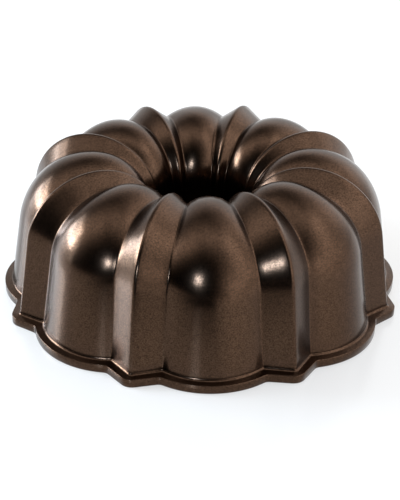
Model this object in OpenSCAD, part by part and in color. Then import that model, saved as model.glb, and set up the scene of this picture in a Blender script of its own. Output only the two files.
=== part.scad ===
// Fluted ring cake pan, cast in aluminium, standing on its rim with the
// crown up.  Eight broad rounded lobes alternate with eight narrow ridges.
// Both run up the drafted wall, over the crown and down into the centre tube.
// Millimetres, +Z up, origin at the centre of the rim plane.

/* [Rim] */
// Radius of the rim's outline at the notches between lobes and ridges
rim_notch_r = 128; // [127:0.1:131]
// Radius of the rim's outline at the middle of a lobe
rim_lobe_r = 134.7; // [133:0.1:138]
// Radius of the rim's outline at a ridge, where its two straight sides would meet
rim_ridge_r = 137.5; // [136:0.1:141]
// Radius that rounds the rim's outline at a ridge
rim_ridge_round = 8.6; // [2:0.2:9]
// Height of the rim flange
rim_h = 5.7; // [4:0.1:8]

/* [Metal] */
// Thickness of the cast wall, square to its surface
wall_t = 3.2; // [2.5:0.1:4]
// Radius that rounds the edge of each ridge
ridge_edge_r = 2.4; // [1:0.1:4]

/* [Valley between a lobe and a ridge] */
// Radius at the foot of the wall
valley_foot_r = 121.6; // [120:0.1:123]
// Radius of the highest point
valley_crown_r = 70.1; // [68:0.1:72]
// Height of the highest point
valley_crown_z = 89.4; // [87:0.1:92]
// Height of the centre of the crown's ellipse on the wall's side
valley_shoulder_z = 51.3; // [47:0.1:53]
// Height of the centre of the crown's ellipse on the tube's side
valley_tube_shoulder_z = 52.5; // [50:0.1:54]
// Draft of the wall, in degrees
valley_wall_draft = 8.7; // [6:0.1:10]
// Draft of the centre tube, in degrees
valley_tube_draft = 6.5; // [5:0.1:7]
// Radius that the centre tube's straight stretch would have at the tube's end
valley_tube_r = 29.6; // [29:0.1:31]

/* [Ridge, along its sharp edge before rounding] */
// Radius at the foot of the wall
ridge_foot_r = 131.5; // [130:0.1:133]
// Radius of the highest point
ridge_crown_r = 76.4; // [74:0.1:79]
// Height of the highest point
ridge_crown_z = 98.1; // [96:0.1:101]
// Height of the centre of the crown's ellipse on the wall's side
ridge_shoulder_z = 50.3; // [46:0.1:53]
// Height of the centre of the crown's ellipse on the tube's side
ridge_tube_shoulder_z = 52; // [50:0.1:54]
// Draft of the wall, in degrees
ridge_wall_draft = 8.6; // [6:0.1:10]
// Draft of the centre tube, in degrees
ridge_tube_draft = 4.2; // [3:0.1:5]
// Radius that the centre tube's straight stretch would have at the tube's end
ridge_tube_r = 26.5; // [26:0.1:28]

/* [Lobe, along its middle] */
// Radius at the foot of the wall
lobe_foot_r = 129.4; // [128:0.1:131]
// Radius of the highest point
lobe_crown_r = 72; // [70:0.1:75]
// Height of the highest point
lobe_crown_z = 96.2; // [94:0.1:99]
// Height of the centre of the crown's ellipse on the wall's side
lobe_shoulder_z = 42.9; // [38:0.1:48]
// Height of the centre of the crown's ellipse on the tube's side
lobe_tube_shoulder_z = 54; // [50:0.1:54]
// Draft of the wall, in degrees
lobe_wall_draft = 9.1; // [6:0.1:10]
// Draft of the centre tube, in degrees
lobe_tube_draft = 4.2; // [3:0.1:5]

/* [Width of a lobe] */
// Half the angle that a lobe takes up at the foot of the wall, in degrees
lobe_angle_foot = 14.6; // [13:0.1:16]
// Half the angle that a lobe takes up at the top of the crown, in degrees
lobe_angle_crown = 13; // [12:0.1:15]
// Half the angle that a lobe takes up on the centre tube, in degrees
lobe_angle_tube = 14.6; // [13:0.1:15]

/* [Centre tube] */
// Radius of the round hole at the end of the tube, and of the lobes there
tube_r = 29.5; // [28.5:0.5:30.5]
// Height of the tube's end above the rim plane
tube_end_z = 3; // [1:0.5:8]
// Height of the round collar at the tube's end
collar_h = 5; // [4:0.5:8]
// Distance that the collar's bead stands out from the tube
bead_out = 1.2; // [0.5:0.1:2]
// Radius that rounds the bead
bead_round = 2; // [1:0.1:2]

/* [Hidden] */
flutes = 8;
pitch = 360 / flutes;
throat_z = tube_end_z + collar_h;
// [radius, height] of the core circle, from which the crown's sections fan out
core = [75, 58];
bronze = [0.27, 0.20, 0.15];
dark_grey = [0.16, 0.15, 0.15];
margin = 1;

// The two straight stretches of a profile, and the way each faces
WALL = 0;
TUBE = 1;
facing = [1, -1];
base_z = [rim_h, throat_z];

// Where each value stands in a profile
BASE_R = 0;
DRAFT = 1;
CROWN_R = 2;
CROWN_Z = 3;
SHOULDER_Z = 4;
// How much deeper than the wall its inner corner lies
CORNER = 5;
valley = [
    [valley_foot_r, valley_tube_r], [valley_wall_draft, valley_tube_draft],
    valley_crown_r, valley_crown_z, [valley_shoulder_z, valley_tube_shoulder_z], 0.1
];
ridge = [
    [ridge_foot_r, ridge_tube_r], [ridge_wall_draft, ridge_tube_draft],
    ridge_crown_r, ridge_crown_z, [ridge_shoulder_z, ridge_tube_shoulder_z], 0.19
];
lobe = [
    [lobe_foot_r, tube_r], [lobe_wall_draft, lobe_tube_draft],
    lobe_crown_r, lobe_crown_z, [lobe_shoulder_z, lobe_tube_shoulder_z], 0
];

// Rows of points along a profile
wall_rows = 4;
crown_rows = 12;
tube_rows = 5;
throat_row = wall_rows + crown_rows;
end_row = throat_row + tube_rows;
// Points round one flute, and round one flute of the rim
lobe_steps = 8;
rim_lobe_steps = 16;
rim_round_steps = 6;
// Share of the way from a ridge's sharp edge to its rounding's chord
edge_pull = 0.54;

function mix(a, b, t) = a + (b - a) * t;

// Turns a point from a flute's own frame, where y is the radius
function turned(p, angle) = [
    p[0] * cos(angle) + p[1] * sin(angle),
    p[0] * sin(angle) - p[1] * cos(angle),
    p[2]
];

function half_h(p, side) = p[CROWN_Z] - p[SHOULDER_Z][side];

// Half width of the crown's ellipse, which the drafted straight stretch touches
function half_w(p, side) =
    let (
        draft = p[DRAFT][side],
        gap = abs(p[BASE_R][side] - p[CROWN_R]),
        k = gap * cos(draft) + (base_z[side] - p[SHOULDER_Z][side]) * sin(draft)
    )
    sqrt(k * k - pow(half_h(p, side) * sin(draft), 2)) / cos(draft);

// Height where the straight stretch touches the ellipse
function touch_z(p, side) =
    let (draft = p[DRAFT][side], h = half_h(p, side))
    p[SHOULDER_Z][side] + h * sin(atan2(h * sin(draft), half_w(p, side) * cos(draft)));

// [radius, height] of the wall or of the tube at a height
function side_point(p, side, z) = [
    z < touch_z(p, side)
        ? p[BASE_R][side] - facing[side] * (z - base_z[side]) * tan(p[DRAFT][side])
        : p[CROWN_R] + facing[side] * half_w(p, side)
            * sqrt(1 - pow((z - p[SHOULDER_Z][side]) / half_h(p, side), 2)),
    z
];

// Distance from the core to the crown's ellipse along a ray
function ray_length(p, side, ray) =
    let (
        from = [
            (core[0] - p[CROWN_R]) / half_w(p, side),
            (core[1] - p[SHOULDER_Z][side]) / half_h(p, side)
        ],
        way = [ray[0] / half_w(p, side), ray[1] / half_h(p, side)],
        a = way * way,
        b = from * way
    )
    (sqrt(b * b - a * (from * from - 1)) - b) / a;

function crown_point(p, ray) =
    let (outer = core + ray * ray_length(p, WALL, ray))
    outer[0] > p[CROWN_R] ? outer : core + ray * ray_length(p, TUBE, ray);

// The wall and the tube are cut level, and the crown along rays from the core
function ray(row) =
    let (turn = 180 * min(max(row - wall_rows, 0), crown_rows) / crown_rows)
    [cos(turn), sin(turn)];

function outer_point(p, row) =
    row <= wall_rows ? side_point(p, WALL, mix(rim_h, core[1], row / wall_rows))
    : row < throat_row ? crown_point(p, ray(row))
    : row == end_row ? [tube_r, throat_z]
    : side_point(p, TUBE, mix(core[1], throat_z, (row - throat_row) / tube_rows));

// Outward direction of a profile at one of its points, of length 1
function normal(p, point) =
    let (
        side = point[0] > p[CROWN_R] ? WALL : TUBE,
        draft = p[DRAFT][side],
        out = [
            (point[0] - p[CROWN_R]) / pow(half_w(p, side), 2),
            (point[1] - p[SHOULDER_Z][side]) / pow(half_h(p, side), 2)
        ]
    )
    point[1] < touch_z(p, side) ? [facing[side] * cos(draft), sin(draft)] : out / norm(out);

// The corners in the flutes fade out as the tube turns round
function corner_share(row) = row < throat_row ? 1 : (end_row - row) / tube_rows;

// [radius, height] at one row, on the outer face or at a depth in the metal
function at_depth(p, row, depth) =
    let (
        point = outer_point(p, row),
        inward = depth * (1 + p[CORNER] * corner_share(row))
    )
    point - ray(row) * inward / (ray(row) * normal(p, point));

function lobe_half_angle(row) =
    let (top_row = wall_rows + crown_rows / 2)
    row < top_row
        ? mix(lobe_angle_foot, lobe_angle_crown, row / top_row)
        : mix(lobe_angle_crown, lobe_angle_tube, min((row - top_row) / (crown_rows / 2), 1));

// Round arc across a lobe from valley to valley, through the lobe's middle
function lobe_arc(v, l, half_angle, steps) =
    let (
        half_w = v[0] * sin(half_angle),
        chord = [0, v[0] * cos(half_angle), v[1]],
        rise = [0, l[0], l[1]] - chord,
        rise_h = norm(rise),
        arc_r = (half_w * half_w + rise_h * rise_h) / (2 * rise_h),
        half_turn = atan2(half_w, arc_r - rise_h)
    )
    [
        for (i = [0 : steps])
            let (a = mix(-half_turn, half_turn, i / steps))
            chord + rise / rise_h * (arc_r * cos(a) - arc_r + rise_h) + [arc_r * sin(a), 0, 0]
    ];

// The rounded edge of a ridge between the valleys on its two sides
function ridge_edge(left, tip, right) =
    let (
        width = norm(left - right) / 2,
        side = (norm(left - tip) + norm(right - tip)) / 2,
        back = min(ridge_edge_r * sqrt(side * side - width * width) / width, side / 2),
        a = tip + (left - tip) * back / norm(left - tip),
        b = tip + (right - tip) * back / norm(right - tip)
    )
    [a, mix(tip, (a + b) / 2, edge_pull), b];

// One flute: a lobe, its second valley and the ridge beyond it
function flute(row, depth) =
    let (
        v = at_depth(valley, row, depth),
        l = at_depth(lobe, row, depth),
        e = at_depth(ridge, row, depth),
        half_angle = lobe_half_angle(row),
        arc = lobe_arc(v, l, half_angle, lobe_steps),
        tip = [e[0] * sin(pitch / 2), e[0] * cos(pitch / 2), e[1]],
        next = [v[0] * sin(pitch - half_angle), v[0] * cos(pitch - half_angle), v[1]]
    )
    concat(arc, ridge_edge(arc[lobe_steps], tip, next));

function ring(row, depth) = [
    for (k = [0 : flutes - 1])
        for (p = flute(row, depth))
            turned(p, k * pitch)
];

// Corners of the rim's outline in a ridge's own frame
function rim_ridge_arc() =
    let (
        apart = pitch / 2 - lobe_angle_foot,
        notch = [rim_notch_r * sin(apart), rim_notch_r * cos(apart)],
        half_corner = atan2(notch[0], rim_ridge_r - notch[1]),
        centre_y = rim_ridge_r - rim_ridge_round / sin(half_corner)
    )
    [
        for (i = [0 : rim_round_steps])
            let (a = mix(half_corner - 90, 90 - half_corner, i / rim_round_steps))
            [rim_ridge_round * sin(a), centre_y + rim_ridge_round * cos(a), 0]
    ];

function rim_outline() = [
    for (k = [0 : flutes - 1])
        each concat(
            [
                for (p = lobe_arc([rim_notch_r, 0], [rim_lobe_r, 0], lobe_angle_foot, rim_lobe_steps))
                    turned(p, k * pitch)
            ],
            [for (p = rim_ridge_arc()) turned(p, (k + 0.5) * pitch)]
        )
];

function flat(points) = [for (p = points) [p[0], p[1]]];

// Two triangles between neighbouring loops; the closing pair is cut the
// other way, so that two pieces that meet there share the same triangles
function band_faces(i, j, rows, count) =
    let (
        i2 = (i + 1) % rows,
        j2 = (j + 1) % count,
        a = i * count + j,
        b = i * count + j2,
        c = i2 * count + j2,
        d = i2 * count + j
    )
    i < rows - 1 ? [[a, b, c], [a, c, d]] : [[a, b, d], [b, c, d]];

module closed_skin(loops) {
    rows = len(loops);
    count = len(loops[0]);
    polyhedron(
        points = [for (loop = loops) each loop],
        faces = [
            for (i = [0 : rows - 1])
                for (j = [0 : count - 1])
                    each band_faces(i, j, rows, count)
        ],
        convexity = 10
    );
}

module fluted_shell(first_row, last_row) {
    outside = [for (row = [first_row : last_row]) ring(row, 0)];
    inside = [for (row = [last_row : -1 : first_row]) ring(row, wall_t)];
    closed_skin(concat(outside, inside));
}

// The drafted, fluted side wall
module fluted_wall() {
    color(bronze) fluted_shell(0, wall_rows);
}

// The domed crown, from the wall to the mouth of the tube
module crown() {
    color(bronze) fluted_shell(wall_rows, throat_row);
}

// The tube, whose flutes fade into a round end
module centre_tube() {
    color(bronze) fluted_shell(throat_row, end_row);
}

// The round collar with a bead that ends the tube
module tube_collar() {
    color(dark_grey) rotate_extrude($fn = 96) union() {
        translate([tube_r, tube_end_z])
            square([wall_t, collar_h]);
        translate([tube_r + wall_t + bead_out - bead_round, tube_end_z + bead_round])
            circle(bead_round, $fn = 32);
    }
}

// The flat flange that the pan stands on, with the outline of the flutes
module rim_flange() {
    color(bronze) difference() {
        linear_extrude(rim_h)
            polygon(flat(rim_outline()));
        translate([0, 0, -margin])
            linear_extrude(rim_h + 2 * margin)
                polygon(flat(ring(0, wall_t)));
    }
}

fluted_wall();
crown();
centre_tube();
tube_collar();
rim_flange();
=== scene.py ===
import math

import bpy
import numpy as np
from mathutils import Matrix, Vector


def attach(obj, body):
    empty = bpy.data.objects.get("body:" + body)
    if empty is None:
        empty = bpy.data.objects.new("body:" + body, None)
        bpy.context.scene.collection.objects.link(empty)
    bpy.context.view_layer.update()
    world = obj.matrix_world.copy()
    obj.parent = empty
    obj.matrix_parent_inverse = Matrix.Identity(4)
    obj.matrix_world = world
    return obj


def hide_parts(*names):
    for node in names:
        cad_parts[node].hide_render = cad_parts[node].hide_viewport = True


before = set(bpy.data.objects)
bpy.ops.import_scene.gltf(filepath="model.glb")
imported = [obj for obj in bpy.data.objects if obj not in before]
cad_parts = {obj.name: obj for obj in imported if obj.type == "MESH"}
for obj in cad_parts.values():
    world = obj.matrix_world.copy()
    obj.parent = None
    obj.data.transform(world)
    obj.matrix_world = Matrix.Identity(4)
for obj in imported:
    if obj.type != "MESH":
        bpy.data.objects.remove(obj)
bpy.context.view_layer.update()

MM = 0.001

# ---------------------------------------------------------------------------
# Shape of the pan, in millimetres.  These are the dimensions of the CAD part.
# ---------------------------------------------------------------------------
FLUTES = 8
PITCH = math.radians(360 / FLUTES)
RIM_H = 5.7
WALL_T = 3.2
CORE = np.array([75.0, 58.0])
TUBE_R = 29.5
TUBE_END_Z = 3.0
COLLAR_H = 5.0
THROAT_Z = TUBE_END_Z + COLLAR_H
BEAD_OUT = 1.2
BEAD_ROUND = 2.0
LOBE_ANGLE_FOOT = math.radians(14.6)
LOBE_ANGLE_CROWN = math.radians(13.0)
LOBE_ANGLE_TUBE = math.radians(14.6)
RIDGE_EDGE_R = 2.4
RIM_NOTCH_R = 128.0
RIM_LOBE_R = 134.7
RIM_RIDGE_R = 137.5
RIM_RIDGE_ROUND = 8.6

WALL, TUBE = 0, 1
FACING = (1.0, -1.0)
BASE_Z = (RIM_H, THROAT_Z)

# Small radii that the casting has and that CAD leaves sharp
VALLEY_FILLET = 0.9
RIM_FILLET = 1.5
RIM_EDGE = 0.35
RIM_UNDER_EDGE = 0.4
NOTCH_FILLET = 2.2
LINING_T = 0.12
COLLAR_END_R = 0.5
COLLAR_ROW_GAP = 1.2
SKIRT_ROW_Z = 3.0
WALL_SLOPE = math.tan(math.radians(8.9))
# Share of the tube over which the flutes run out into a round bore
RUN_OUT_START, RUN_OUT = 0.8, 0.2
# The most of a flank that the rounding of a ridge's edge may take
EDGE_SHARE_MAX = 0.45
TUBE_FILLET_MIN = 0.25

# Points along and round the skin
WALL_ROWS, CROWN_ROWS, TUBE_ROWS = 18, 84, 22
ARC_N, FILLET_N, FLANK_N, TIP_N = 36, 5, 5, 8
RIM_ROWS, RIM_UNDER_ROWS, COLLAR_END_ROWS, BEAD_ROWS = 6, 4, 6, 14


class Profile:
    """One drafted profile: straight wall, half ellipse over the crown, straight tube."""

    def __init__(self, base_r, draft, crown_r, crown_z, shoulder_z, corner):
        self.base_r = base_r
        self.draft = [math.radians(d) for d in draft]
        self.crown_r, self.crown_z, self.shoulder_z = crown_r, crown_z, shoulder_z
        self.corner = corner
        self.half_h = [crown_z - z for z in shoulder_z]
        self.half_w = [self._half_w(s) for s in (WALL, TUBE)]
        self.touch_z = [self._touch_z(s) for s in (WALL, TUBE)]

    def _half_w(self, side):
        d = self.draft[side]
        gap = abs(self.base_r[side] - self.crown_r)
        k = gap * math.cos(d) + (BASE_Z[side] - self.shoulder_z[side]) * math.sin(d)
        return math.sqrt(k * k - (self.half_h[side] * math.sin(d)) ** 2) / math.cos(d)

    def _touch_z(self, side):
        d = self.draft[side]
        turn = math.atan2(self.half_h[side] * math.sin(d), self.half_w[side] * math.cos(d))
        return self.shoulder_z[side] + self.half_h[side] * math.sin(turn)

    def side_point(self, side, z):
        if z < self.touch_z[side]:
            lean = (z - BASE_Z[side]) * math.tan(self.draft[side])
            r = self.base_r[side] - FACING[side] * lean
        else:
            lift = (z - self.shoulder_z[side]) / self.half_h[side]
            r = self.crown_r + FACING[side] * self.half_w[side] * math.sqrt(1 - lift * lift)
        return np.array([r, z])

    def crown_point(self, ray):
        for side in (WALL, TUBE):
            size = np.array([self.half_w[side], self.half_h[side]])
            start = (CORE - np.array([self.crown_r, self.shoulder_z[side]])) / size
            way = ray / size
            a, b = way @ way, start @ way
            point = CORE + ray * (math.sqrt(b * b - a * (start @ start - 1)) - b) / a
            if side == TUBE or point[0] > self.crown_r:
                return point

    def normal(self, point):
        side = WALL if point[0] > self.crown_r else TUBE
        d = self.draft[side]
        if point[1] < self.touch_z[side]:
            return np.array([FACING[side] * math.cos(d), math.sin(d)])
        out = np.array([
            (point[0] - self.crown_r) / self.half_w[side] ** 2,
            (point[1] - self.shoulder_z[side]) / self.half_h[side] ** 2,
        ])
        return out / np.linalg.norm(out)


VALLEY = Profile((121.6, 29.6), (8.7, 6.5), 70.1, 89.4, (51.3, 52.5), 0.1)
RIDGE = Profile((131.5, 26.5), (8.6, 4.2), 76.4, 98.09, (50.3, 52.0), 0.19)
LOBE = Profile((129.4, TUBE_R), (9.1, 4.2), 72.0, 96.2, (42.9, 54.0), 0.0)


def stations(step=1):
    """Places along the skin from the foot of the wall to the end of the tube."""
    wall = [("wall", t) for t in np.linspace(0, 1, WALL_ROWS // step + 1)]
    crown = [("crown", t) for t in np.linspace(0, 1, CROWN_ROWS // step + 1)][1:-1]
    tube = [("tube", t) for t in np.linspace(0, 1, TUBE_ROWS // step + 1)]
    return wall + crown + tube


def section_point(profile, station, depth):
    part, t = station
    ray = np.array([1.0, 0.0])
    corner_share = 1.0
    if part == "wall":
        point = profile.side_point(WALL, RIM_H + (CORE[1] - RIM_H) * t)
    elif part == "crown":
        ray = np.array([math.cos(math.pi * t), math.sin(math.pi * t)])
        point = profile.crown_point(ray)
    else:
        ray = np.array([-1.0, 0.0])
        point = profile.side_point(TUBE, CORE[1] + (THROAT_Z - CORE[1]) * t)
        corner_share = 1 - t
        share = max(0.0, (t - RUN_OUT_START) / RUN_OUT)
        share = share * share * (3 - 2 * share)
        point[0] += (TUBE_R - point[0]) * share
    inward = depth * (1 + profile.corner * corner_share)
    return point - ray * inward / (ray @ profile.normal(point))


def lobe_half_angle(station):
    part, t = station
    share = {"wall": 0.4 * t, "crown": min(1.0, 0.4 + 1.2 * t), "tube": 1.0}[part]
    widen = {"wall": 0.0, "crown": max(0.0, 2 * t - 1), "tube": 1.0}[part]
    angle = LOBE_ANGLE_FOOT + (LOBE_ANGLE_CROWN - LOBE_ANGLE_FOOT) * share
    return angle + (LOBE_ANGLE_TUBE - LOBE_ANGLE_CROWN) * widen


def bend(a, corner, b, n):
    """Points of a small fillet from a to b, without a and b themselves."""
    t = np.linspace(0, 1, n + 1)[1:-1, None]
    to_a, to_b = a - corner, b - corner
    spread = (to_a @ to_b) / (np.linalg.norm(to_a) * np.linalg.norm(to_b))
    # weight that makes the curve a circular arc: the sine of half the corner
    weight = math.sqrt((1 - spread) / 2)
    share = (1 - t) ** 2 + 2 * t * (1 - t) * weight + t * t
    return ((1 - t) ** 2 * a + 2 * t * (1 - t) * weight * corner + t * t * b) / share


def flute_points(v, l, e, half_angle, fillet, edge_r):
    """One flute in its own frame: lobe arc, valley fillet, ridge and the next fillet."""
    half_w = v[0] * math.sin(half_angle)
    chord = np.array([0.0, v[0] * math.cos(half_angle), v[1]])
    rise = np.array([0.0, l[0], l[1]]) - chord
    rise_h = np.linalg.norm(rise)
    rise = rise / rise_h
    arc_r = (half_w ** 2 + rise_h ** 2) / (2 * rise_h)
    half_turn = math.atan2(half_w, arc_r - rise_h)

    def arc(a):
        across = np.array([arc_r * math.sin(a), 0, 0])
        return chord + rise * (arc_r * math.cos(a) - arc_r + rise_h) + across

    trim = fillet / arc_r
    angles = np.linspace(-half_turn + trim, half_turn - trim, ARC_N + 1)
    lobe = np.array([arc(a) for a in angles])
    valley = arc(half_turn)
    tip = np.array([e[0] * math.sin(PITCH / 2), e[0] * math.cos(PITCH / 2), e[1]])
    turn = PITCH - half_angle
    valley_2 = np.array([v[0] * math.sin(turn), v[0] * math.cos(turn), v[1]])
    way = (tip - valley) / np.linalg.norm(tip - valley)
    way_2 = (tip - valley_2) / np.linalg.norm(tip - valley_2)
    width = np.linalg.norm(valley - valley_2) / 2
    side = np.linalg.norm(tip - valley)
    back = min(edge_r * math.sqrt(max(side ** 2 - width ** 2, 0)) / width, side * EDGE_SHARE_MAX)
    flank_start, flank_end = valley + way * fillet, tip - way * back
    share = np.linspace(0, 1, FLANK_N + 1)[:, None]
    flank = flank_start + (flank_end - flank_start) * share
    flank_2_start, flank_2_end = tip - way_2 * back, valley_2 + way_2 * fillet
    flank_2 = flank_2_start + (flank_2_end - flank_2_start) * share
    # the first point of the next lobe, in this flute's frame
    c, s = math.cos(PITCH), math.sin(PITCH)
    first = lobe[0]
    following = np.array([first[0] * c + first[1] * s, -first[0] * s + first[1] * c, first[2]])
    return np.concatenate([
        lobe,
        bend(lobe[-1], valley, flank[0], FILLET_N),
        flank,
        bend(flank[-1], tip, flank_2[0], TIP_N),
        flank_2,
        bend(flank_2[-1], valley_2, following, FILLET_N),
    ])


def round_the_axis(points):
    """Repeats one flute's points round the axis, with a lobe centred on -Y."""
    rings = []
    for k in range(FLUTES):
        c, s = math.cos(k * PITCH), math.sin(k * PITCH)
        rings.append(np.stack([
            points[:, 0] * c + points[:, 1] * s,
            points[:, 0] * s - points[:, 1] * c,
            points[:, 2],
        ], 1))
    return np.concatenate(rings)


def ring(station, depth):
    v, l, e = (section_point(p, station, depth) for p in (VALLEY, LOBE, RIDGE))
    part, t = station
    calm = 1.0 if part != "tube" else max(TUBE_FILLET_MIN, 1 - t)
    fillet = VALLEY_FILLET * calm
    return round_the_axis(flute_points(v, l, e, lobe_half_angle(station), fillet, RIDGE_EDGE_R))


def rim_ring():
    """The rim's outline, point for point with a ring of the skin."""
    half_angle = LOBE_ANGLE_FOOT
    v, l = np.array([RIM_NOTCH_R, 0.0]), np.array([RIM_LOBE_R, 0.0])
    apart = PITCH / 2 - half_angle
    notch = (RIM_NOTCH_R * math.sin(apart), RIM_NOTCH_R * math.cos(apart))
    half_corner = math.atan2(notch[0], RIM_RIDGE_R - notch[1])
    # distance from the corner to where its rounding starts
    back = RIM_RIDGE_ROUND / math.tan(half_corner)
    points = flute_points(v, l, np.array([RIM_RIDGE_R, 0.0]), half_angle, NOTCH_FILLET, 0.0)
    # replace the ridge by its arc
    tip = np.array([RIM_RIDGE_R * math.sin(PITCH / 2), RIM_RIDGE_R * math.cos(PITCH / 2), 0.0])
    out = np.array([math.sin(PITCH / 2), math.cos(PITCH / 2), 0.0])
    across = np.array([math.cos(PITCH / 2), -math.sin(PITCH / 2), 0.0])
    centre = tip - out * RIM_RIDGE_ROUND / math.sin(half_corner)
    start = ARC_N + 1 + FILLET_N - 1
    flank_a = points[start]
    flank_b = points[start + 2 * FLANK_N + TIP_N]
    sweep = math.pi / 2 - half_corner
    turns = np.linspace(-sweep, sweep, TIP_N + 1)
    arc = np.array([
        centre + RIM_RIDGE_ROUND * (across * math.sin(a) + out * math.cos(a)) for a in turns
    ])
    share = np.linspace(0, 1, FLANK_N + 1)[:, None]
    points[start:start + FLANK_N + 1] = flank_a + (arc[0] - flank_a) * share
    points[start + FLANK_N + 1:start + FLANK_N + TIP_N] = arc[1:-1]
    second = start + FLANK_N + TIP_N
    points[second:second + FLANK_N + 1] = arc[-1] + (flank_b - arc[-1]) * share
    return round_the_axis(points)


def along(grid, axis, closed):
    """Tangents of a grid of points along one axis, for uneven spacing."""
    ahead = np.roll(grid, -1, axis) - grid
    behind = grid - np.roll(grid, 1, axis)
    if not closed:
        first = [slice(None)] * 3
        last = [slice(None)] * 3
        first[axis], last[axis] = 0, -1
        behind[tuple(first)] = ahead[tuple(first)]
        ahead[tuple(last)] = behind[tuple(last)]
    h1 = np.linalg.norm(behind, axis=2, keepdims=True) + 1e-9
    h2 = np.linalg.norm(ahead, axis=2, keepdims=True) + 1e-9
    t = behind / h1 * h2 + ahead / h2 * h1
    return t / (np.linalg.norm(t, axis=2, keepdims=True) + 1e-12)


def grid_normals(grid):
    n = np.cross(along(grid, 1, True), along(grid, 0, False))
    return n / (np.linalg.norm(n, axis=2, keepdims=True) + 1e-12)


def loop_solid(name, bands, materials):
    """Closes a torus-like solid from bands of rings.

    Each band is (rings, normals or None, material index); each band starts on
    the ring that the band before it ends on, and the last ends on the first ring.
    """
    verts, faces, mats, loops = [], [], [], []
    base = 0
    ring_ids = []
    for rings, normals, mat in bands:
        n_r, n_c = rings.shape[:2]
        if not ring_ids:
            ids = np.arange(n_c)
            verts.append(rings[0])
            base = n_c
            ring_ids.append(ids)
        prev = ring_ids[-1]
        for i in range(1, n_r):
            closes = rings is bands[-1][0] and i == n_r - 1
            if closes:
                ids = ring_ids[0]
            else:
                ids = np.arange(base, base + n_c)
                verts.append(rings[i])
                base += n_c
            nxt = np.roll(prev, -1)
            nxt2 = np.roll(ids, -1)
            quad = np.stack([prev, nxt, nxt2, ids], 1)
            faces.append(quad)
            mats.append(np.full(n_c, mat))
            if normals is None:
                p = rings[i - 1]
                q = rings[i]
                d1 = np.roll(q, -1, 0) - p
                d2 = q - np.roll(p, -1, 0)
                f = np.cross(d1, d2)
                f /= np.linalg.norm(f, axis=1, keepdims=True) + 1e-12
                loops.append(np.repeat(f[:, None, :], 4, 1))
            else:
                a, b = normals[i - 1], normals[i]
                loops.append(np.stack([a, np.roll(a, -1, 0), np.roll(b, -1, 0), b], 1))
            prev = ids
            ring_ids.append(ids)
    verts = np.concatenate(verts) * MM
    faces = np.concatenate(faces)
    mats = np.concatenate(mats)
    loops = np.concatenate(loops)
    mesh = bpy.data.meshes.new(name)
    mesh.vertices.add(len(verts))
    mesh.vertices.foreach_set("co", verts.astype(np.float32).ravel())
    mesh.loops.add(faces.size)
    mesh.loops.foreach_set("vertex_index", faces.astype(np.int32).ravel())
    mesh.polygons.add(len(faces))
    mesh.polygons.foreach_set("loop_start", np.arange(0, faces.size, 4, dtype=np.int32))
    mesh.polygons.foreach_set("material_index", mats.astype(np.int32))
    mesh.polygons.foreach_set("use_smooth", np.ones(len(faces), bool))
    mesh.update(calc_edges=True)
    mesh.validate()
    mesh.normals_split_custom_set(loops.reshape(-1, 3).tolist())
    for m in materials:
        mesh.materials.append(m)
    obj = bpy.data.objects.new(name, mesh)
    bpy.context.scene.collection.objects.link(obj)
    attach(obj, "root")
    return obj


# ---------------------------------------------------------------------------
# Materials
# ---------------------------------------------------------------------------
def new_material(name):
    m = bpy.data.materials.new(name)
    m.use_nodes = True
    tree = m.node_tree
    tree.nodes.clear()
    out = tree.nodes.new("ShaderNodeOutputMaterial")
    bsdf = tree.nodes.new("ShaderNodeBsdfPrincipled")
    tree.links.new(bsdf.outputs["BSDF"], out.inputs["Surface"])
    return m, tree, bsdf


def maths(tree, operation, a, b=None):
    node = tree.nodes.new("ShaderNodeMath")
    node.operation = operation
    tree.links.new(a, node.inputs[0])
    if isinstance(b, float):
        node.inputs[1].default_value = b
    elif b is not None:
        tree.links.new(b, node.inputs[1])
    return node.outputs["Value"]


def soft_step(tree, source, start, stop):
    """0 at start and 1 at stop, with a smooth passage between them."""
    r = tree.nodes.new("ShaderNodeMapRange")
    r.interpolation_type = "SMOOTHSTEP"
    r.inputs["From Min"].default_value = start
    r.inputs["From Max"].default_value = stop
    tree.links.new(source, r.inputs["Value"])
    return r.outputs["Result"]


def noise(tree, scale, detail, coords, roughness=0.5):
    n = tree.nodes.new("ShaderNodeTexNoise")
    n.inputs["Scale"].default_value = scale
    n.inputs["Detail"].default_value = detail
    n.inputs["Roughness"].default_value = roughness
    tree.links.new(coords, n.inputs["Vector"])
    return n.outputs["Fac"]


def ramp(tree, source, low, high, low_value, high_value):
    r = tree.nodes.new("ShaderNodeMapRange")
    r.inputs["From Min"].default_value = low
    r.inputs["From Max"].default_value = high
    r.inputs["To Min"].default_value = low_value
    r.inputs["To Max"].default_value = high_value
    tree.links.new(source, r.inputs["Value"])
    return r.outputs["Result"]


def mix_colour(tree, fac, a, b):
    m = tree.nodes.new("ShaderNodeMix")
    m.data_type = "RGBA"
    m.inputs["A"].default_value = (*a, 1)
    m.inputs["B"].default_value = (*b, 1)
    tree.links.new(fac, m.inputs["Factor"])
    return m.outputs["Result"]


def bump(tree, height, strength, distance):
    b = tree.nodes.new("ShaderNodeBump")
    b.inputs["Strength"].default_value = strength
    b.inputs["Distance"].default_value = distance
    tree.links.new(height, b.inputs["Height"])
    return b.outputs["Normal"]


# Noise scales are in cycles per metre: a scale of 1000 makes grains of about 1 mm
BRONZE_GRAIN, BRONZE_CLOUD = 1300, 40
BRONZE_DARK, BRONZE_LIGHT = (0.032, 0.0187, 0.0121), (0.095, 0.0550, 0.0354)
BRONZE_ROUGHNESS = (0.195, 0.205)
NONSTICK_GRAIN = 2200
NONSTICK_DARK, NONSTICK_LIGHT = (0.020, 0.019, 0.019), (0.034, 0.032, 0.031)


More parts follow.
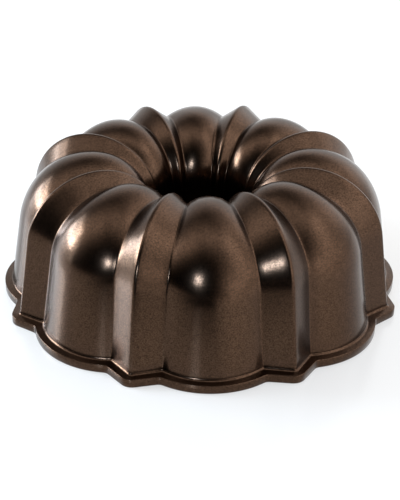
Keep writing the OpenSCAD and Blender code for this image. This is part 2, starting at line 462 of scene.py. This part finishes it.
def bronze_coating():
    """Dark, glossy metallic film with a fine grain, its colour and gloss varied by noise."""
    m, tree, bsdf = new_material("bronze_coating")
    coords = tree.nodes.new("ShaderNodeTexCoord").outputs["Object"]
    grain = noise(tree, BRONZE_GRAIN, 2, coords, 0.7)
    cloud = noise(tree, BRONZE_CLOUD, 3, coords)
    colour = mix_colour(tree, ramp(tree, grain, 0.34, 0.66, 0, 1), BRONZE_DARK, BRONZE_LIGHT)
    tree.links.new(colour, bsdf.inputs["Base Color"])
    bsdf.inputs["Metallic"].default_value = 1.0
    tree.links.new(ramp(tree, cloud, 0.3, 0.7, *BRONZE_ROUGHNESS), bsdf.inputs["Roughness"])
    tree.links.new(bump(tree, grain, 0.1, 0.00001), bsdf.inputs["Normal"])
    return m


def dark_nonstick():
    """Matt black film, with the fine grain of a sprayed coat."""
    m, tree, bsdf = new_material("dark_nonstick")
    coords = tree.nodes.new("ShaderNodeTexCoord").outputs["Object"]
    fine = noise(tree, NONSTICK_GRAIN, 2, coords)
    colour = mix_colour(tree, ramp(tree, fine, 0.4, 0.6, 0, 1), NONSTICK_DARK, NONSTICK_LIGHT)
    tree.links.new(colour, bsdf.inputs["Base Color"])
    bsdf.inputs["Metallic"].default_value = 0.35
    bsdf.inputs["Roughness"].default_value = 0.36
    tree.links.new(bump(tree, fine, 0.1, 0.00003), bsdf.inputs["Normal"])
    return m


BRONZE = bronze_coating()
NONSTICK = dark_nonstick()

# ---------------------------------------------------------------------------
# The casting
# ---------------------------------------------------------------------------
FINE = stations()
COARSE = stations(2)
outer = np.array([ring(s, 0.0) for s in FINE])
outer_n = grid_normals(outer)
inner = np.array([ring(s, WALL_T) for s in COARSE])
inner_n = -grid_normals(inner)

wall_end, crown_end = WALL_ROWS, WALL_ROWS + CROWN_ROWS
wall_end_2, crown_end_2 = WALL_ROWS // 2, (WALL_ROWS + CROWN_ROWS) // 2


def shell_piece(name, first, last, first_2, last_2):
    """A stretch of the casting, from one row of the skin to another."""
    out, out_n = outer[first:last + 1], outer_n[first:last + 1]
    back, back_n = inner[first_2:last_2 + 1][::-1], inner_n[first_2:last_2 + 1][::-1]
    return loop_solid(name, [
        (out, out_n, 0),
        (np.array([out[-1], back[0]]), None, 0),
        (back, back_n, 0),
        (np.array([back[-1], out[0]]), None, 0),
    ], [BRONZE])


wall = shell_piece("fluted_wall_casting", 0, wall_end, 0, wall_end_2)
crown = shell_piece("crown_casting", wall_end, crown_end, wall_end_2, crown_end_2)
tube = shell_piece(
    "centre_tube_casting", crown_end, len(FINE) - 1, crown_end_2, len(COARSE) - 1
)


# ---------------------------------------------------------------------------
# Rim flange
# ---------------------------------------------------------------------------
def at_height(points, z):
    p = points.copy()
    p[:, 2] = z
    return p


def outline_normals(points):
    flat = points[None, :, :].copy()
    flat[..., 2] = 0
    t = along(flat, 1, True)[0]
    return np.stack([t[:, 1], -t[:, 0], 0 * t[:, 0]], 1)


def rim_flange():
    outline = rim_ring()
    foot = outer[0]
    mouth = inner[0]
    n_out = outline_normals(outline)
    # faces outward, away from the axis
    if (n_out * outline).sum() < 0:
        n_out = -n_out
    across = outline - foot
    across[:, 2] = 0
    width = np.linalg.norm(across, axis=1, keepdims=True)
    across = across / width
    rows = []
    # concave fillet from the wall to the flat top
    for a in np.linspace(0, math.pi / 2, RIM_ROWS):
        reach, lift = RIM_FILLET * (1 - math.cos(a)), RIM_FILLET * (1 - math.sin(a))
        base = foot + across * (reach - lift * WALL_SLOPE * (1 - math.sin(a)))
        rows.append(at_height(base, RIM_H + lift))
    # rounded top edge and the skirt
    for a in np.linspace(0, math.pi / 2, RIM_ROWS):
        inset, drop = RIM_EDGE * (1 - math.sin(a)), RIM_EDGE * (1 - math.cos(a))
        rows.append(at_height(outline - n_out * inset, RIM_H - drop))
    rows.append(at_height(outline, SKIRT_ROW_Z))
    for a in np.linspace(0, math.pi / 2, RIM_UNDER_ROWS):
        inset = RIM_UNDER_EDGE * (1 - math.cos(a))
        rows.append(at_height(outline - n_out * inset, RIM_UNDER_EDGE * (1 - math.sin(a))))
    top = np.array(rows)
    top_n = grid_normals(top)
    # the band starts on the wall, whose normals it takes over
    top_n[0] = outer_n[0]
    under = np.array([top[-1], at_height(mouth, 0.0)])
    inside = np.array([at_height(mouth, 0.0), at_height(mouth, RIM_H)])
    closing = np.array([at_height(mouth, RIM_H), top[0]])
    return loop_solid("rim_flange_casting", [
        (top, top_n, 0),
        (under, None, 1),
        (inside, None, 1),
        (closing, None, 0),
    ], [BRONZE, NONSTICK])


flange = rim_flange()


# ---------------------------------------------------------------------------
# Collar at the end of the tube
# ---------------------------------------------------------------------------
def lathe(name, profile, materials, steps=160):
    """Closed solid of revolution from a closed (radius, height) profile."""
    a = np.linspace(0, 2 * math.pi, steps, endpoint=False)
    rows = np.array([
        np.stack([r * np.cos(a), r * np.sin(a), np.full(steps, z)], 1)
        for r, z in profile + profile[:1]
    ])
    closed = rows[:-1]
    t_row = along(closed, 0, True)
    t_col = along(closed, 1, True)
    n = np.cross(t_col, t_row)
    n /= np.linalg.norm(n, axis=2, keepdims=True)
    n = np.concatenate([n, n[:1]])
    return loop_solid(name, [(rows, n, 0)], materials)


def corner_arc(cx, cz, r, start, stop, n):
    angles = np.radians(np.linspace(start, stop, n))
    return [(cx + r * math.cos(a), cz + r * math.sin(a)) for a in angles]


def tube_collar():
    end_r = COLLAR_END_R
    outer_r = TUBE_R + WALL_T
    bead_c = (outer_r + BEAD_OUT - BEAD_ROUND, TUBE_END_Z + BEAD_ROUND)
    # angle at which the bead meets the collar's outside
    meet = math.degrees(math.acos((outer_r - bead_c[0]) / BEAD_ROUND))
    profile = [
        (outer_r, THROAT_Z),
        (TUBE_R, THROAT_Z),
        (TUBE_R, THROAT_Z - COLLAR_ROW_GAP),
        (TUBE_R, TUBE_END_Z + COLLAR_ROW_GAP),
    ]
    profile += corner_arc(TUBE_R + end_r, TUBE_END_Z + end_r, end_r, 180, 270, COLLAR_END_ROWS)
    profile += corner_arc(*bead_c, BEAD_ROUND, -90, meet, BEAD_ROWS)
    # the profile runs the way that turns its faces outward
    return lathe("tube_collar_ring", profile, [NONSTICK])


collar = tube_collar()

# ---------------------------------------------------------------------------
# Non-stick lining of the inside
# ---------------------------------------------------------------------------
lining_in = np.array([ring(s, WALL_T + LINING_T) for s in COARSE])
lining_in_n = -grid_normals(lining_in)
lining = loop_solid("nonstick_lining", [
    (inner, -inner_n, 0),
    (np.array([inner[-1], lining_in[-1]]), None, 0),
    (lining_in[::-1], lining_in_n[::-1], 0),
    (np.array([lining_in[0], inner[0]]), None, 0),
], [NONSTICK])

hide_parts("fluted_wall")
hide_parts("crown")
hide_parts("centre_tube")
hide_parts("tube_collar")
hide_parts("rim_flange")


# ---------------------------------------------------------------------------
# Floor, light and camera
# ---------------------------------------------------------------------------
def floor():
    """A pale, glossy floor that glows a little, like a light table."""
    mesh = bpy.data.meshes.new("floor")
    s = FLOOR_HALF
    mesh.from_pydata([(-s, -s, 0), (s, -s, 0), (s, s, 0), (-s, s, 0)], [], [(0, 1, 2, 3)])
    m, tree, bsdf = new_material("pale_floor")
    bsdf.inputs["Base Color"].default_value = (FLOOR_ALBEDO, FLOOR_ALBEDO, FLOOR_ALBEDO, 1)
    bsdf.inputs["Roughness"].default_value = FLOOR_GLOSS
    bsdf.inputs["Specular IOR Level"].default_value = 0.5
    bsdf.inputs["Emission Color"].default_value = (1, 1, 1, 1)
    bsdf.inputs["Emission Strength"].default_value = FLOOR_GLOW
    mesh.materials.append(m)
    obj = bpy.data.objects.new("floor", mesh)
    obj.location.z = FLOOR_Z
    bpy.context.scene.collection.objects.link(obj)


FLOOR_HALF = 20.0
FLOOR_Z = -0.0002
FLOOR_ALBEDO = 0.4
FLOOR_GLOW = 0.47
FLOOR_GLOSS = 0.2
floor()


def front_reflection_shade():
    """Dark patch on the floor in front of the pan: painted shade that only the pan's reflections
    of the floor show.

    Only reflections show it: the camera, shadows and diffuse light pass it by.
    """
    mesh = bpy.data.meshes.new("front_reflection_shade")
    x, near, far = CARD_HALF, CARD_NEAR, CARD_FAR
    mesh.from_pydata([(-x, far, 0), (x, far, 0), (x, near, 0), (-x, near, 0)], [], [(0, 1, 2, 3)])
    m, tree, black = new_material("front_reflection_shade")
    black.inputs["Base Color"].default_value = REFLECTION_SHADE_BLACK
    black.inputs["Roughness"].default_value = 1.0
    black.inputs["Specular IOR Level"].default_value = 0.0
    place = tree.nodes.new("ShaderNodeTexCoord").outputs["Object"]
    axes = tree.nodes.new("ShaderNodeSeparateXYZ")
    tree.links.new(place, axes.inputs["Vector"])
    length = tree.nodes.new("ShaderNodeVectorMath")
    length.operation = "LENGTH"
    tree.links.new(place, length.inputs[0])
    # azimuth of a point of the card, in radians; 0 is straight in front
    ahead = maths(tree, "MULTIPLY", axes.outputs["Y"], -1.0)
    turn = maths(tree, "ARCTAN2", axes.outputs["X"], ahead)
    dark = soft_step(tree, length.outputs["Value"], *CARD_START)
    for start, stop in CARD_SIDES:
        side = soft_step(tree, turn, math.radians(start), math.radians(stop))
        dark = maths(tree, "MULTIPLY", dark, side)
    clear = tree.nodes.new("ShaderNodeBsdfTransparent")
    mix = tree.nodes.new("ShaderNodeMixShader")
    tree.links.new(dark, mix.inputs["Fac"])
    tree.links.new(clear.outputs["BSDF"], mix.inputs[1])
    tree.links.new(black.outputs["BSDF"], mix.inputs[2])
    out = next(n for n in tree.nodes if n.bl_idname == "ShaderNodeOutputMaterial")
    tree.links.new(mix.outputs["Shader"], out.inputs["Surface"])
    mesh.materials.append(m)
    obj = bpy.data.objects.new("front_reflection_shade", mesh)
    obj.location.z = CARD_Z
    obj.visible_camera = obj.visible_diffuse = obj.visible_shadow = False
    bpy.context.scene.collection.objects.link(obj)


# Colour of the painted shade in the pan's reflections of the floor
REFLECTION_SHADE_BLACK = (0.01, 0.01, 0.01, 1)
CARD_HALF, CARD_NEAR, CARD_FAR = 3.0, -0.155, -4.0
# Distances from the axis, in metres, at which the painted shade begins and is full
CARD_START = (0.17, 0.42)
# Azimuths in degrees at which each side of the painted shade is clear, and is full
CARD_SIDES = ((10, 0), (-62, -16))
CARD_Z = 0.0005


def direction(azimuth, elevation):
    """Unit vector for two angles in degrees; azimuth 0 is in front of the pan, 90 at +X."""
    a, e = math.radians(azimuth), math.radians(elevation)
    return Vector((math.sin(a) * math.cos(e), -math.cos(a) * math.cos(e), math.sin(e)))


def softbox(name, azimuth, elevation, distance, width, height, radiance, colour):
    """A rectangular area light aimed at the middle of the pan."""
    target = Vector(LIGHT_AIM)
    place = target + distance * direction(azimuth, elevation)
    data = bpy.data.lights.new(name, "AREA")
    data.shape = "RECTANGLE"
    data.size, data.size_y = width, height
    data.energy = radiance * math.pi * width * height
    data.color = colour
    obj = bpy.data.objects.new(name, data)
    obj.location = place
    obj.rotation_mode = "QUATERNION"
    obj.rotation_quaternion = (target - place).to_track_quat("-Z", "Y")
    bpy.context.scene.collection.objects.link(obj)


LIGHT_AIM = (0, 0, 0.05)
# Lights: name, azimuth, elevation, distance, width and height in degrees, radiance
LIGHTS = (
    ("key_1", -98, 4, 1.2, 10, 11, 1.8),
    ("key_2", -98, 15, 1.2, 10, 11, 34.0),
    ("key_3", -98, 26, 1.2, 10, 11, 16.5),
    ("key_4", -108, 4, 1.2, 10, 11, 3.8),
    ("key_5", -108, 15, 1.2, 10, 11, 21.0),
    ("key_6", -108, 26, 1.2, 10, 11, 11.0),
    ("key_7", -118, 4, 1.2, 10, 11, 4.5),
    ("key_8", -118, 15, 1.2, 10, 11, 15.0),
    ("key_9", -118, 26, 1.2, 10, 11, 5.5),
    ("key_10", -88, 6, 1.2, 9, 12, 2.6),
    ("key_11", -88, 18, 1.2, 9, 12, 4.6),
    ("front", -22, 21, 1.4, 7.5, 9, 27.0),
)
KEY_COLOUR = (1.0, 1.17, 1.32)
FRONT_COLOUR = (1.0, 1.33, 1.7)
for name, azimuth, elevation, distance, wide, high, radiance in LIGHTS:
    width = 2 * distance * math.tan(math.radians(wide / 2))
    height = 2 * distance * math.tan(math.radians(high / 2))
    colour = FRONT_COLOUR if name == "front" else KEY_COLOUR
    softbox(name, azimuth, elevation, distance, width, height, radiance, colour)

# The tent round the pan: soft patches of light, as azimuth, elevation and radiance
SKY = (
    (35, 8, 2.09), (60, 8, 1.37), (85, 8, 1.28), (110, 8, 0.74),
    (135, 8, 1.55), (160, 8, 0.53), (-175, 8, 0.8), (-150, 8, 0.63),
    (-125, 8, 1.35), (35, 32, 0.54), (62, 32, 1.85), (90, 32, 0.71),
    (118, 32, 1.93), (146, 32, 1.23), (174, 32, 1.08), (-158, 32, 0.68),
    (-100, 32, 2.12), (30, 57, 0.25), (72, 57, 2.35), (114, 57, 0.92),
    (156, 57, 0.38), (-120, 57, 0.41), (-80, 57, 1.52), (0, 80, 1.25),
    (-120, 80, 0.46),
)
SKY_TIGHTNESS = 25.0
BACKDROP = 0.95


def studio_tent():
    """World light made of soft round patches, with none low in front of the pan."""
    world = bpy.data.worlds.new("studio")
    world.use_nodes = True
    tree = world.node_tree
    way = tree.nodes.new("ShaderNodeTexCoord").outputs["Generated"]

    total = None
    for azimuth, elevation, radiance in SKY:
        dot = tree.nodes.new("ShaderNodeVectorMath")
        dot.operation = "DOT_PRODUCT"
        tree.links.new(way, dot.inputs[0])
        dot.inputs[1].default_value = direction(azimuth, elevation) * SKY_TIGHTNESS
        # exp(tightness * (cosine - 1)), times the radiance
        level = math.log(radiance) - SKY_TIGHTNESS
        patch = maths(tree, "EXPONENT", maths(tree, "ADD", dot.outputs["Value"], level))
        total = patch if total is None else maths(tree, "ADD", total, patch)
    background = tree.nodes["Background"]
    background.inputs["Color"].default_value = (1, 1, 1, 1)
    tree.links.new(total, background.inputs["Strength"])
    # what shows above the floor is a plain pale backdrop, which lights nothing
    backdrop = tree.nodes.new("ShaderNodeBackground")
    backdrop.inputs["Color"].default_value = (1, 1, 1, 1)
    backdrop.inputs["Strength"].default_value = BACKDROP
    mix = tree.nodes.new("ShaderNodeMixShader")
    path = tree.nodes.new("ShaderNodeLightPath")
    tree.links.new(path.outputs["Is Camera Ray"], mix.inputs["Fac"])
    tree.links.new(background.outputs["Background"], mix.inputs[1])
    tree.links.new(backdrop.outputs["Background"], mix.inputs[2])
    out = next(n for n in tree.nodes if n.bl_idname == "ShaderNodeOutputWorld")
    tree.links.new(mix.outputs["Shader"], out.inputs["Surface"])
    bpy.context.scene.world = world


studio_tent()

front_reflection_shade()


def camera():
    """The camera's place and turn, measured for this view of the pan."""
    elevation, distance = math.radians(30.711), 791.454
    focal = 1131.716
    pitch, yaw, roll = math.radians(29.261), math.radians(-0.056), math.radians(0.977)
    turn = math.radians(-4.144)
    place = Vector((0, -distance * math.cos(elevation), distance * math.sin(elevation))) * MM
    level = math.cos(pitch)
    look = Vector((math.sin(yaw) * level, math.cos(yaw) * level, -math.sin(pitch)))
    right = Vector((math.cos(yaw), -math.sin(yaw), 0))
    up = right.cross(look)
    right_r = math.cos(roll) * right + math.sin(roll) * up
    up_r = -math.sin(roll) * right + math.cos(roll) * up
    spin = Matrix.Rotation(turn, 4, "Z")
    turned = Matrix((right_r, up_r, -look)).transposed().to_4x4()
    turned.translation = place
    data = bpy.data.cameras.new("camera")
    data.sensor_fit = "AUTO"
    data.sensor_width = 36
    data.lens = focal * 36 / 500
    data.clip_start, data.clip_end = 0.01, 50
    obj = bpy.data.objects.new("camera", data)
    obj.matrix_world = spin @ turned
    bpy.context.scene.collection.objects.link(obj)
    bpy.context.scene.camera = obj


camera()
bpy.context.scene.view_settings.view_transform = "Standard"
